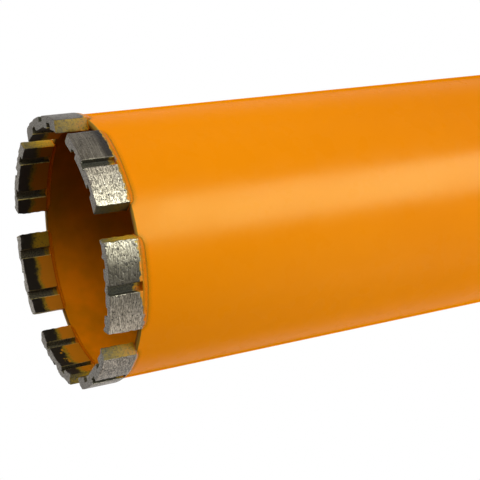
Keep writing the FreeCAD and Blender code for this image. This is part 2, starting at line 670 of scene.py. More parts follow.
class Effects:
    """Shader node groups that more than one material uses, each built once."""

    def __init__(self) -> None:
        """Build the groups."""
        self.skin = self.paint_skin()
        self.streaks = self.ground_streaks()

    @staticmethod
    def new(name: str, inputs: dict[str, float], outputs: tuple[str, ...]) -> tuple[Wiring, dict, Node]:
        """Empty shader group with named numbers in and out.

        Args:
            name: Name of the group.
            inputs: Name and first value of each input.
            outputs: Name of each output.

        Returns:
            The wiring, the input sockets by name and the node of the outputs.
        """
        taken = tuple((label, "Float", value) for label, value in inputs.items())
        return Wiring.begin(name, "ShaderNodeTree", taken, tuple((label, "Float") for label in outputs))

    @classmethod
    def paint_skin(cls) -> Tree:
        """Sprayed paint: orange peel, slow drift of its shade, and rare dust specks.

        Returns:
            The group, with its scales and the size of the specks as inputs.
        """
        inputs = {"Peel Scale": 900.0, "Drift Scale": 14.0, "Speck Scale": 90.0, "Speck Size": 0.1}
        wiring, given, end = cls.new("paint_skin", inputs, ("Peel", "Drift", "Speck", "Scuff"))
        place = wiring.place()
        peel = wiring.noise(place, given["Peel Scale"], seed=3.0)
        drift = wiring.noise(place, given["Drift Scale"], detail=3.0, seed=8.0)
        cells = wiring.add("ShaderNodeTexVoronoi", {"Vector": place, "Scale": given["Speck Scale"]})
        near = wiring.below(cells.outputs["Distance"], given["Speck Size"])
        chance = wiring.tints(cells.outputs["Color"])[0]
        speck = wiring.times(near, wiring.below(chance, 0.1))
        scuff = wiring.noise(place, wiring.times(given["Drift Scale"], 9.0), detail=4.0, seed=5.0)
        for value, name in ((peel, "Peel"), (drift, "Drift"), (speck, "Speck"), (scuff, "Scuff")):
            wiring.join(value, end.inputs, name)
        return wiring.tree

    @classmethod
    def ground_streaks(cls) -> Tree:
        """Scratches that run round the axis, from grinding or turning.

        Returns:
            The group, with the radius and the streaks to the metre as inputs.
        """
        inputs = {"Radius": 0.038, "Streaks Along": 350.0, "Streaks Across": 3600.0}
        wiring, given, end = cls.new("ground_streaks", inputs, ("Streak", "Fine", "Stroke"))
        place = wiring.place()
        parts = wiring.parts(place)
        angle = wiring.math("ARCTAN2", parts[1], parts[0])
        squares = wiring.plus(wiring.times(parts[0], parts[0]), wiring.times(parts[1], parts[1]))
        radius = wiring.math("SQRT", squares)
        arc = wiring.times(angle, given["Radius"])
        around = wiring.times(arc, given["Streaks Along"])
        up = wiring.times(parts[2], given["Streaks Across"])
        out = wiring.times(radius, given["Streaks Across"])
        laid = wiring.vector(around, up, out)
        wiring.join(wiring.noise(laid, 1.0, seed=2.0, roughness=0.6), end.inputs, "Streak")
        wiring.join(wiring.noise(laid, 2.7, detail=3.0, seed=6.0, roughness=0.7), end.inputs, "Fine")
        length, upright, depth = (wiring.times(value, scale) for value, scale in (
            (arc, 1100.0), (parts[2], 3900.0), (radius, 3900.0)))
        short = wiring.vector(length, upright, depth)
        wiring.join(wiring.noise(short, 1.0, seed=4.0, roughness=0.6), end.inputs, "Stroke")
        return wiring.tree


def shader(name: str, sockets: dict[str, float]) -> tuple[Material, Wiring, Node]:
    """Material with one Principled shader.

    Args:
        name: Name of the material.
        sockets: Values that are the same all over, by the shader's own socket names.

    Returns:
        The material, its wiring and its shader.
    """
    material = bpy.data.materials.new(name)
    material.use_nodes = True
    wiring = Wiring(material.node_tree)
    surface = next(node for node in material.node_tree.nodes if node.type == "BSDF_PRINCIPLED")
    for key, value in sockets.items():
        surface.inputs[key].default_value = value
    return material, wiring, surface


def relief(wiring: Wiring, height: Input, distance: float, strength: float, below: Input = None) -> Socket:
    """Normal that a height in metres gives the surface.

    Args:
        wiring: Wiring of the material.
        height: Height from 0 to 1.
        distance: What a height of 1 stands for, in metres.
        strength: Share of it that shows.
        below: Normal that it is laid over.

    Returns:
        The new normal.
    """
    sockets = {"Strength": strength, "Distance": distance, "Height": height, "Normal": below}
    return wiring.add("ShaderNodeBump", sockets).outputs[0]


@dataclass(frozen=True)
class OrangePaint:
    """Satin sprayed orange paint.

    Where a rim height is given, it is the tube's paint: thin over the tube's cut end with painted shade
    towards the bore there, darker in the bore with painted shade on its +X side, and painted shade in the
    corner outside under the segments.
    """

    name: str = "orange_paint"
    bright: Colour = (0.90, 0.272, 0.0004)
    dull: Colour = (0.86, 0.250, 0.0004)
    speck: Colour = (0.30, 0.11, 0.02)
    roughness: float = 0.28
    specular: float = 0.068
    gloss_tint: Colour = (0.7, 1.0, 0.45)
    peel_scale: float = 1100.0
    peel_height: float = 0.000004
    lump_scale: float = 0.0
    lump_height: float = 0.0
    rim_height: float = 0.0
    rim_colour: Colour = (0.34, 0.24, 0.04)
    # Painted shade: the cut end turns darker towards the bore.
    rim_inner_shade: Colour = (0.06, 0.035, 0.005)
    rim_radii: tuple[float, float] = (0.0357, 0.0366)
    rim_ragged: float = 0.0003
    rim_blend: float = 0.0002
    rim_cover: float = 0.85
    rim_roughness: float = 0.6
    # Painted shade in the corner outside under the segments, beside the braze beads.
    corner: Colour = (0.30, 0.125, 0.002)
    corner_shade_radii: tuple[float, float] = (0.0366, 0.037)
    corner_shade_heights: tuple[float, float] = (0.3735, 0.3745)
    corner_shade_reach: float = 0.0014
    bore: Colour = (0.76, 0.205, 0.0008)
    bore_dark: Colour = (0.42, 0.145, 0.0012)
    # Painted shade: the bore darker on its +X side, where less light falls.
    bore_side_shade: Colour = (0.11, 0.040, 0.0012)
    bore_radii: tuple[float, float] = (0.0358, 0.0353)
    bore_shade_sides: tuple[float, float] = (-0.02, 0.022)
    bore_shade_share: float = 0.62
    speck_size: float = 0.018

    def build(self, effects: Effects) -> Material:
        """Material of the paint.

        Args:
            effects: Shader node groups shared by the materials.

        Returns:
            The material.
        """
        sockets = {"Specular Tint": (*self.gloss_tint, 1.0), "Specular IOR Level": self.specular}
        material, wiring, surface = shader(self.name, sockets)
        colour, roughness, normal = self.coat(wiring, effects)
        wiring.join(self.gloss(wiring), surface.inputs, "Specular IOR Level")
        if self.rim_height:
            colour, roughness = self.tube_end(wiring, colour, roughness)
        wiring.feed(surface, {"Base Color": colour, "Roughness": roughness, "Normal": normal})
        return material

    def tube_end(self, wiring: Wiring, colour: Socket, roughness: Socket) -> tuple[Socket, Socket]:
        """Colour and roughness with the bore and the painted shade on its +X side, the painted shade in the
        corner outside under the segments, and the cut end with painted shade towards the bore.

        Args:
            wiring: Wiring of the material.
            colour: Colour of the plain paint.
            roughness: Roughness of the plain paint.

        Returns:
            The tube's colour and roughness.
        """
        place = wiring.place()
        parts = wiring.parts(place)
        radius = wiring.length(wiring.vector(parts[0], parts[1]))
        drift = wiring.noise(place, 55.0, detail=3.0, seed=17.0, roughness=0.6)
        shaded = wiring.ramp(drift, ((0.36, self.bore_dark), (0.62, self.bore)))
        # Painted shade on the bore's +X side.
        side = wiring.step(parts[0], *self.bore_shade_sides, 0.0, self.bore_shade_share)
        shaded = wiring.mix(side, shaded, self.bore_side_shade)
        colour = wiring.mix(wiring.step(radius, *self.bore_radii), colour, shaded)
        # Painted shade in the corner, where ambient occlusion finds the beads close by.
        hidden = wiring.add("ShaderNodeAmbientOcclusion", {"Distance": self.corner_shade_reach}, samples=8)
        beyond = wiring.step(radius, *self.corner_shade_radii)
        outside = wiring.times(beyond, wiring.step(parts[2], *self.corner_shade_heights))
        beside = wiring.times(wiring.step(hidden.outputs["AO"], 0.99, 0.83), outside)
        colour = wiring.mix(beside, colour, self.corner)
        # Painted shade on the cut end, darker towards the bore.
        edge = wiring.mix(wiring.step(radius, *self.rim_radii), self.rim_inner_shade, self.rim_colour)
        torn = wiring.noise(place, 900.0, detail=3.0)
        ragged = wiring.math("MULTIPLY_ADD", torn, self.rim_ragged, parts[2])
        rim = wiring.step(ragged, self.rim_height, self.rim_height + self.rim_blend, 0.0, self.rim_cover)
        return wiring.mix(rim, colour, edge), wiring.blend(rim, roughness, self.rim_roughness)

    def gloss(self, wiring: Wiring) -> Socket:
        """Specular level of the satin paint, which falls off towards its outline.

        Args:
            wiring: Wiring of the material.

        Returns:
            The specular level.
        """
        facing = wiring.add("ShaderNodeLayerWeight", {"Blend": 0.5}).outputs["Facing"]
        satin = wiring.step(facing, 0.3, 0.5, self.specular, self.specular * 0.22)
        return wiring.times(satin, wiring.step(facing, 0.66, 0.82, 1.0, 0.0))

    def coat(self, wiring: Wiring, effects: Effects) -> tuple[Socket, ...]:
        """Colour, roughness and normal of the paint in a material's tree.

        Args:
            wiring: Wiring of the material.
            effects: Shader node groups shared by the materials.

        Returns:
            The colour, the roughness and the normal.
        """
        values = {"Peel Scale": self.peel_scale, "Speck Size": self.speck_size}
        skin = wiring.group(effects.skin, values).outputs
        tone = wiring.step(skin["Drift"], 0.3, 0.7)
        colour = wiring.mix(tone, self.dull, self.bright)
        colour = wiring.mix(skin["Speck"], colour, self.speck)
        roughness = wiring.step(skin["Scuff"], 0.3, 0.75, self.roughness - 0.03, self.roughness + 0.05)
        normal = relief(wiring, skin["Peel"], self.peel_height, 1.0)
        if self.lump_height:
            place = wiring.place()
            lumps = wiring.noise(place, self.lump_scale, detail=3.0, seed=4.0, roughness=0.6)
            normal = relief(wiring, lumps, self.lump_height, 1.0, normal)
        return colour, roughness, normal


@dataclass(frozen=True)
class BeadPaint:
    """Paint that has run over a rough bead, mottled in colour, with painted shade in the creases at its toe
    and its seam.
    """

    name: str
    light: Colour = (0.80, 0.27, 0.003)
    body: Colour = (0.69, 0.180, 0.0005)
    dark: Colour = (0.24, 0.09, 0.003)
    # Painted shade in the crease at the bead's toe.
    toe: Colour = (0.36, 0.155, 0.003)
    root: Colour = (0.40, 0.20, 0.012)
    # Painted shade: dark line in the crease at the inner root, behind the segment's shoulder.
    seam: Colour = (0.36, 0.05, 0.001)
    bare: Colour = (0.34, 0.29, 0.23)
    bare_dark: Colour = (0.10, 0.08, 0.06)
    lump_scale: float = 1300.0
    lump_height: float = 0.00016
    dark_share: float = 0.38

    def build(self, effects: Effects) -> Material:
        """Material of the painted bead.

        Args:
            effects: Shader node groups shared by the materials.

        Returns:
            The material.
        """
        material, wiring, surface = shader(self.name, {"Specular IOR Level": 0.03})
        place = wiring.place()
        skin = wiring.group(effects.skin, {"Peel Scale": self.lump_scale, "Speck Scale": 700.0}).outputs
        mottle = wiring.noise(place, self.lump_scale, detail=3.0, seed=1.0, roughness=0.7)
        colour = wiring.ramp(mottle, ((self.dark_share - 0.08, self.dark), (self.dark_share, self.body),
                                      (0.56, self.body), (0.66, self.light)))
        # Painted shade at the toe, with a ragged edge.
        ragged = wiring.math("MULTIPLY_ADD", wiring.minus(mottle, 0.5), 1.6, wiring.attribute("toe"))
        colour = wiring.mix(wiring.step(ragged, 0.1, 0.9, 0.0, 0.95), colour, self.toe)
        colour = wiring.mix(wiring.attribute("root"), colour, self.root)
        # Painted shade along the seam inside.
        colour = wiring.mix(wiring.attribute("seam"), colour, self.seam)
        braze = wiring.ramp(mottle, ((0.36, self.bare_dark), (0.54, self.bare)))
        colour = wiring.mix(wiring.attribute("bare"), colour, braze)
        lumps = wiring.noise(place, self.lump_scale, seed=7.0)
        wiring.feed(surface, {
            "Base Color": colour, "Roughness": wiring.step(skin["Scuff"], 0.3, 0.7, 0.28, 0.5),
            "Normal": relief(wiring, lumps, self.lump_height, 0.8)})
        return material


@dataclass(frozen=True)
class HubFinish:
    """Orange paint over the turned hub, with its seat and thread left bare."""

    steel: Colour = (0.42, 0.41, 0.39)
    bare_below: float = 0.00025
    bare_within: float = 0.0164
    ragged_edge: float = 0.0004
    cut_height: float = 0.00002
    paint: OrangePaint = OrangePaint(name="hub_finish", peel_scale=800.0)

    def build(self, effects: Effects) -> Material:
        """Material of the hub.

        Args:
            effects: Shader node groups shared by the materials.

        Returns:
            The material.
        """
        material, wiring, surface = shader("hub_finish", {"Specular IOR Level": self.paint.specular})
        colour, roughness, normal = self.paint.coat(wiring, effects)
        wiring.join(self.paint.gloss(wiring), surface.inputs, "Specular IOR Level")
        place = wiring.place()
        parts = wiring.parts(place)
        radius = wiring.length(wiring.vector(parts[0], parts[1]))
        ragged = wiring.times(wiring.noise(place, 1500.0, detail=3.0), self.ragged_edge)
        seat = wiring.below(parts[2], wiring.plus(ragged, self.bare_below - self.ragged_edge / 2))
        thread = wiring.below(radius, wiring.plus(ragged, self.bare_within))
        bare = wiring.larger(seat, thread)
        values = {"Radius": 0.02, "Streaks Along": 60.0, "Streaks Across": 4000.0}
        streak = wiring.group(effects.streaks, values).outputs["Streak"]
        turned = wiring.shade(self.steel, wiring.step(streak, 0.3, 0.7, 0.8, 1.15))
        cut = relief(wiring, wiring.times(streak, bare), self.cut_height, 1.0, normal)
        wiring.feed(surface, {
            "Base Color": wiring.mix(bare, colour, turned), "Metallic": bare,
            "Roughness": wiring.blend(bare, roughness, 0.36), "Normal": cut})
        return material


@dataclass(frozen=True)
class SinteredMetal:
    """Sintered segments: ground outside, rough in front, dark inside, with stray paint at the root."""

    ground_light: Colour = (0.262, 0.228, 0.190)
    ground_mid: Colour = (0.148, 0.126, 0.100)
    ground_dark: Colour = (0.060, 0.050, 0.040)
    heat_tint: Colour = (0.040, 0.034, 0.031)
    front_light: Colour = (0.28, 0.255, 0.22)
    front_dark: Colour = (0.06, 0.053, 0.044)
    raw: Colour = (0.035, 0.032, 0.020)
    raw_light: Colour = (0.13, 0.115, 0.065)
    inside: Colour = (0.012, 0.009, 0.005)
    pit: Colour = (0.012, 0.010, 0.008)
    crystal: Colour = (0.45, 0.43, 0.34)
    olive: Colour = (0.12, 0.10, 0.008)
    gold: Colour = (0.42, 0.25, 0.010)
    orange: Colour = (0.72, 0.235, 0.0012)
    # Light colour on the inner grooves' lips: partly wear, partly a painted highlight where a lip catches the
    # light.
    edge: Colour = (0.62, 0.50, 0.17)
    streak_height: float = 0.00005
    grain_height: float = 0.00009

    def build(self, effects: Effects) -> Material:
        """Material of the segments.

        Args:
            effects: Shader node groups shared by the materials.

        Returns:
            The material.
        """
        material, wiring, surface = shader("sintered_metal", {"Specular IOR Level": 0.16})
        place, outer = wiring.place(), wiring.attribute("outer")
        streaks = wiring.group(effects.streaks, {"Streaks Along": 210.0, "Streaks Across": 4400.0}).outputs
        grains = wiring.noise(place, 2600.0, detail=3.0, seed=2.0, roughness=0.65)
        spatter = wiring.noise(place, 1700.0, detail=4.0, seed=12.0, roughness=0.75)
        holes = self.holes(wiring, place, outer)
        metal = wiring.mix(holes, self.metal(wiring, place, streaks, grains), self.pit)
        stain, cover = self.stain(wiring, spatter)
        # Partly wear, partly painted highlight on the lit lips of the inner grooves.
        worn_and_lit_lip = wiring.times(wiring.attribute("edge"), wiring.step(spatter, 0.4, 0.5))
        colour = wiring.mix(worn_and_lit_lip, wiring.mix(cover, metal, stain), self.edge)
        shine = wiring.larger(outer, wiring.times(wiring.attribute("front"), 0.8))
        clean = wiring.times(wiring.minus(1.0, cover), wiring.minus(1.0, holes))
        rough = wiring.step(streaks["Fine"], 0.3, 0.7, 0.36, 0.56)
        grooves = relief(wiring, wiring.times(streaks["Streak"], outer), self.streak_height, 0.8)
        grainy = wiring.times(grains, wiring.minus(1.0, outer))
        wiring.feed(surface, {
            "Base Color": colour, "Metallic": wiring.times(shine, clean),
            "Roughness": wiring.blend(outer, 0.62, rough),
            "Normal": relief(wiring, grainy, self.grain_height, 0.7, grooves)})
        return material

    def metal(self, wiring: Wiring, place: Socket, streaks: bpy.types.bpy_prop_collection,
              grains: Socket) -> Socket:
        """Colour of the metal and its grit, from its streaks and its grains.

        Args:
            wiring: Wiring of the material.
            place: Place on the object.
            streaks: Outputs of the ground streaks.
            grains: Noise of the metal's grains.

        Returns:
            The colour.
        """
        patches = wiring.noise(place, 260.0, detail=3.0, seed=9.0, roughness=0.6)
        tone = wiring.plus(wiring.times(streaks["Streak"], 0.45), wiring.times(patches, 0.25))
        tone = wiring.math("MULTIPLY_ADD", grains, 0.3, tone)
        stops = ((0.36, self.ground_dark), (0.50, self.ground_mid), (0.63, self.ground_light))
        ground = wiring.ramp(tone, stops)
        warmed = wiring.times(wiring.attribute("scorch"), wiring.step(patches, 0.2, 0.5, 0.75, 1.1))
        blued = wiring.larger(wiring.step(patches, 0.44, 0.62, 0.0, 0.45), warmed)
        tinted = wiring.times(wiring.step(wiring.attribute("up"), 3.4, 1.4), blued)
        ground = wiring.mix(wiring.times(tinted, 0.9), ground, self.heat_tint)
        cutting = wiring.ramp(grains, ((0.36, self.front_dark), (0.60, self.front_light)))
        base = wiring.mix(wiring.step(grains, 0.35, 0.65), self.raw, self.raw_light)
        for name, colour in (("inner", self.inside), ("front", cutting), ("outer", ground)):
            base = wiring.mix(wiring.attribute(name), base, colour)
        stroke = wiring.step(streaks["Stroke"], 0.38, 0.62, 0.35, 1.6)
        speckled = wiring.blend(wiring.attribute("speckle"), 1.0, stroke)
        base = wiring.shade(base, wiring.times(wiring.attribute("tone"), speckled))
        return wiring.mix(wiring.attribute("grit"), base, self.crystal)

    @staticmethod
    def holes(wiring: Wiring, place: Socket, outer: Socket) -> Socket:
        """1 in the pits and in the dark grains of the outer face, and 0 elsewhere.

        Args:
            wiring: Wiring of the material.
            place: Place on the object.
            outer: 1 on the outer face.

        Returns:
            Number from 0 to 1.
        """
        small = wiring.add("ShaderNodeTexVoronoi", {"Vector": place, "Scale": 1500.0}).outputs
        chance = wiring.tints(small["Color"])[1]
        often = wiring.math("MULTIPLY_ADD", wiring.attribute("speckle"), 0.22, 0.13)
        dots = wiring.times(wiring.below(small["Distance"], 0.25), wiring.below(chance, often))
        return wiring.larger(wiring.step(wiring.attribute("pit"), 0.25, 0.7), wiring.times(dots, outer))

    def stain(self, wiring: Wiring, spatter: Socket) -> tuple[Socket, Socket]:
        """Colour of the stray paint and how well it covers.

        Args:
            wiring: Wiring of the material.
            spatter: Noise that tears its edge.

        Returns:
            The colour, and the cover from 0 to 1.
        """
        coat = wiring.attribute("coat")
        edge = wiring.plus(coat, wiring.times(wiring.minus(spatter, 0.5), 0.6))
        stain = wiring.ramp(edge, ((0.10, self.olive), (0.50, self.gold), (0.86, self.orange)))
        grime = wiring.times(wiring.step(spatter, 0.48, 0.37, 0.0, 0.66), wiring.step(coat, 0.95, 0.7))
        stain = wiring.mix(grime, stain, self.raw)
        # The "paint" attribute darkens the stray paint as painted shade on some inner faces and first ends.
        return wiring.shade(stain, wiring.attribute("paint")), wiring.step(edge, 0.02, 0.42)


@dataclass
class TurnedRing:
    """Closed profile that is turned about the axis by the swept ring tree."""

    name: str
    profile: list[tuple[float, float]]
    facets: int = 360
    rise: list[float] | None = None
    across: list[float] | None = None
    ripple_values: dict[str, float] = field(default_factory=dict)

    def make(self, tree: Tree, material: Material) -> Piece:
        """Turn the profile.

        Args:
            tree: The swept ring tree.
            material: Material that the tree sets.

        Returns:
            The turned piece as a plain mesh.
        """
        path_radius = sum(radius for radius, _ in self.profile) / len(self.profile)
        section = [(radius - path_radius, -height, 0.0) for radius, height in self.profile]
        mesh = bpy.data.meshes.new(self.name)
        count = len(section)
        edges = [(n, (n + 1) % count) for n in range(count)]
        mesh.from_pydata([[value * MM for value in row] for row in section], edges, [])
        piece = placed(self.name, mesh)
        point_values(piece, "rise", np.array(self.rise or [0.0] * count))
        point_values(piece, "across", np.array(self.across or [0.0] * count))
        values = {"Path Radius": path_radius * MM, "Facets": self.facets, "Material": material}
        grow(piece, tree, values | self.ripple_values)
        return piece


def rounded(corners: list[Triple], steps: int = 4) -> list[tuple[float, float]]:
    """Profile with its corners rounded.

    Args:
        corners: Radius, height and rounding of each corner in turn.
        steps: Spans on each rounding.

    Returns:
        Points of the closed profile.
    """
    points: list[tuple[float, float]] = []
    for index, (radius, height, rounding) in enumerate(corners):
        here = Vector((radius, height))
        before = Vector(corners[index - 1][:2]) - here
        after = Vector(corners[(index + 1) % len(corners)][:2]) - here
        if rounding <= 0:
            points.append((radius, height))
            continue
        reach = rounding / math.tan(before.angle(after) / 2)
        start = here + before.normalized() * reach
        end = here + after.normalized() * reach
        for step in range(steps + 1):
            part = step / steps
            spot = start * (1 - part) ** 2 + here * 2 * part * (1 - part) + end * part**2
            points.append((spot.x, spot.y))
    return points


@dataclass
class Barrel:
    """Painted steel tube that carries the segments."""

    datum: Datum
    front_rounding: float = 0.3

    def make(self, tree: Tree, paint: Material) -> None:
        """Build the tube, bevelled at the back under the weld.

        Args:
            tree: The swept ring tree.
            paint: Orange paint.
        """
        at = self.datum
        bevel = at.plate_weld_leg
        profile = rounded([
            (at.barrel_bore_radius, at.barrel_bottom, 0),
            (at.barrel_radius - bevel, at.barrel_bottom, 0),
            (at.barrel_radius, at.barrel_bottom + bevel, 0),
            (at.barrel_radius, at.barrel_top, self.front_rounding),
            (at.barrel_bore_radius, at.barrel_top, self.front_rounding),
        ])
        piece = TurnedRing("tube", profile).make(tree, paint)
        sharpen(piece, 40)
        settle(piece, None, Slot.PAINT, "barrel")


@dataclass
class EndPlate:
    """Turned plate that closes the back of the tube."""

    datum: Datum
    rim_rounding: float = 0.9
    edge_rounding: float = 0.35
    spigot_clearance: float = 0.1
    hole_radius: float = 19.6

    def make(self, tree: Tree, paint: Material) -> None:
        """Build the plate with its spigot inside the tube.

        Args:
            tree: The swept ring tree.
            paint: Paint over the turned plate.
        """
        at = self.datum
        spigot = at.barrel_bore_radius - self.spigot_clearance
        profile = rounded([
            (self.hole_radius, at.plate_bottom, 0),
            (at.barrel_radius, at.plate_bottom, self.rim_rounding),
            (at.barrel_radius, at.barrel_bottom - at.plate_weld_leg, 0),
            (at.barrel_radius - at.plate_weld_leg, at.barrel_bottom, 0),
            (spigot, at.barrel_bottom, 0),
            (spigot, at.spigot_top, self.edge_rounding),
            (self.hole_radius, at.spigot_top, self.edge_rounding),
        ])
        piece = TurnedRing("back_plate", profile).make(tree, paint)
        sharpen(piece, 40)
        settle(piece, None, Slot.PAINT, "end_plate")


@dataclass
class WeldBead:
    """Weld bead that runs round the axis, with its ripples."""

    name: str
    node: str
    root: tuple[float, float]
    first_toe: tuple[float, float]
    second_toe: tuple[float, float]
    crown: float
    ripples: int
    ripple_depth: float
    facets: int
    seed: float
    face_steps: int = 14

    def make(self, tree: Tree, paint: Material) -> None:
        """Build the bead from its root, its toes and the crown between them.

        Args:
            tree: The swept ring tree.
            paint: Paint over the weld.
        """
        first, second = Vector(self.first_toe), Vector(self.second_toe)
        way = second - first
        outwards = Vector((way.y, -way.x)).normalized()
        profile, rise, across = [self.root], [0.0], [0.0]
        for step in range(self.face_steps + 1):
            part = 2 * step / self.face_steps - 1
            swell = self.crown * (1 - part * part)
            spot = first + way * (part + 1) / 2 + outwards * swell
            profile.append((spot.x, spot.y))
            rise.append(1 - part**6)
            across.append(part)
        values = {
            "Ripples": float(self.ripples), "Ripple Bow": 2.2, "Ripple Depth": self.ripple_depth * MM,
            "Unevenness": self.ripple_depth * 0.9 * MM, "Lump Scale": 320.0, "Seed": self.seed,
        }
        ring = TurnedRing(self.name, profile, self.facets, rise, across, values)
        settle(ring.make(tree, paint), None, Slot.WELD, self.node)


@dataclass
class Hub:
    """Turned hub with two wrench flats and the thread for the drill's spindle."""

    datum: Datum
    rim_chamfer: float = 1.0
    neck_radius: float = 19.5
    major_radius: float = 15.875
    minor_radius: float = 13.9
    mouth_margin: float = 0.4
    thread_pitch: float = 3.629
    crest_share: float = 0.25
    root_share: float = 0.125
    flats_across: float = 41.3
    flats_start: float = 6.0
    flats_height: float = 17.0
    edge_break: float = 0.3
    mouth_gap: float = 0.001
    flat_rows: int = 8
    columns: int = 256
    rows_per_turn: int = 24

    def make(self, finish: Material) -> None:
        """Build the hub and dress it.

        Args:
            finish: Paint outside, bare steel on the seat and in the thread.
        """
        outside, bore = self.outside_rows(), self.thread_rows()
        grid = np.concatenate([outside, bore])
        rows = len(grid)
        faces = []
        for row in range(rows):
            faces += band(row * self.columns, (row + 1) % rows * self.columns, self.columns)
        piece = mesh_object("spindle_hub", grid.reshape(-1, 3), faces)
        turn_outwards(piece)
        sharpen(piece, 32)
        settle(piece, finish, Slot.HUB, "hub")

    def outside_rows(self) -> np.ndarray:
        """Rings of points up the outside of the hub and over the top of its neck, flats and all.

        Returns:
            Points in millimetres by row and column.
        """
        at = self.datum
        start, end = self.flats_start, self.flats_start + self.flats_height
        chamfer, edge = self.rim_chamfer, self.edge_break
        mouth = self.major_radius + self.mouth_margin
        steps: list[tuple[float, float, bool]] = [
            (mouth + self.mouth_gap, 0, False),
            (at.hub_radius - chamfer, 0, False),
            (at.hub_radius, chamfer, False),
            (at.hub_radius, start - edge, False),
            (at.hub_radius, start, False),
            *((at.hub_radius, height, True) for height in np.linspace(start, end, self.flat_rows)),
            (at.hub_radius, end, False),
            (at.hub_radius, end + edge, False),
            (at.hub_radius, at.plate_bottom, False),
            (self.neck_radius, at.plate_bottom, False),
            (self.neck_radius, at.spigot_top - edge, False),
            (self.neck_radius - edge, at.spigot_top, False),
        ]
        angles = self.angles()
        rings = []
        for radius, height, flat in steps:
            ring = np.full(self.columns, radius)
            if flat:
                ring = np.minimum(ring, self.flats_across / 2 / np.maximum(np.abs(np.sin(angles)), 1e-6))
            rings.append(self.ring(ring, np.full(self.columns, height), angles))
        return np.array(rings)

    def thread_rows(self) -> np.ndarray:
        """Rings of points down the bore, each a turn of a helix, from the neck's top to the mouth.

        Returns:
            Points in millimetres by row and column.
        """
        angles = self.angles()
        length = self.datum.spigot_top
        mouth = self.major_radius + self.mouth_margin
        turns = int(length / self.thread_pitch) + 2
        rings = []
        for row in range(turns * self.rows_per_turn, -self.rows_per_turn - 1, -1):
            phase = row / self.rows_per_turn
            height = np.clip(self.thread_pitch * (phase + angles / (2 * math.pi)), 0, length)
            cut = self.cut_depth(height / self.thread_pitch - angles / (2 * math.pi))
            radius = self.minor_radius + cut * (self.major_radius - self.minor_radius)
            radius = np.maximum(radius, mouth - height)
            rings.append(self.ring(radius, height, angles))
        return np.array(rings)

    def cut_depth(self, phase: np.ndarray) -> np.ndarray:
        """How far the thread is cut, from 0 at a crest to 1 at a root, by its phase in turns.

        Args:
            phase: Place along the thread, in turns.

        Returns:
            One number for each phase.
        """
        wave = np.abs(np.mod(phase, 1.0) - 0.5) * 2
        low, high = self.crest_share, 1 - self.root_share
        return np.clip((wave - low) / (high - low), 0, 1)

    def angles(self) -> np.ndarray:
        """Angles of the columns, with one on each corner between a flat and the round.

        Returns:
            Angles in radians, from one corner right round to it.
        """
        corner = math.asin(self.flats_across / 2 / self.datum.hub_radius)
        marks = [-corner, corner, math.pi - corner, math.pi + corner, 2 * math.pi - corner]
        spans = [marks[n + 1] - marks[n] for n in range(4)]
        counts = [round(self.columns * span / (2 * math.pi) / 2) * 2 for span in spans[:3]]
        counts.append(self.columns - sum(counts))
        parts = [np.linspace(marks[n], marks[n + 1], counts[n], endpoint=False) for n in range(4)]
        return np.concatenate(parts)

    @staticmethod
    def ring(radius: np.ndarray, height: np.ndarray, angles: np.ndarray) -> np.ndarray:
        """Points at these radii and heights, one to each column."""
        return np.stack([radius * np.cos(angles), radius * np.sin(angles), height], 1)


